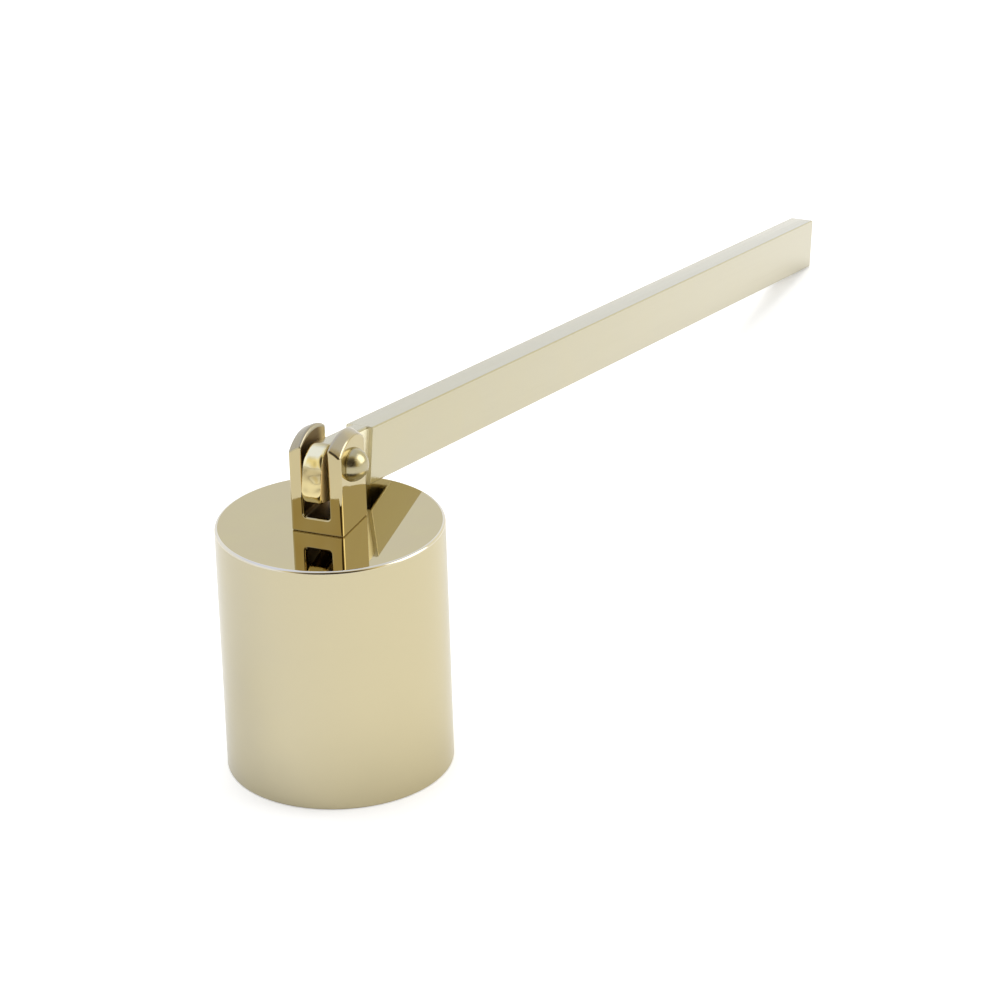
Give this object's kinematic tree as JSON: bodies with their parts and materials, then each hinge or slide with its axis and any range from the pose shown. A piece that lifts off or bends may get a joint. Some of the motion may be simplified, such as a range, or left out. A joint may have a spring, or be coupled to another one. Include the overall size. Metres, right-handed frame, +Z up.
{
  "type": "candle snuffer",
  "caption": "Straight cylindrical snuffer bell with a slotted block on top, to which a long flat bar handle is riveted so that it swings over the bell.",
  "frame": {"origin": "centre of the bell's mouth, on the table that the bell stands on", "axes": "+Z up along the bell's axis, +X the way the handle leans down to the table, +Y along the rivet towards its formed tail"},
  "size_m": [0.2054, 0.031, 0.0492],
  "materials": {
    "polished_brass": "polished pale gold plating",
    "satin_brass": "fine satin pale gold plating",
    "zinc_plated_steel": "bright zinc plating"
  },
  "bodies": {
    "bell_body": {"bell": "polished_brass", "clevis": "polished_brass", "fixing_screw": "zinc_plated_steel", "lock_washer": "zinc_plated_steel", "pivot_rivet": "polished_brass"},
    "handle_body": {"handle": "satin_brass"}
  },
  "joints": [
    {"name": "handle_pivot", "type": "hinge", "parent": "bell_body", "child": "handle_body", "pos_m": [0, 0, 0.04435], "axis": [0, -1, 0], "range_deg": [0, 203.9]}
  ]
}
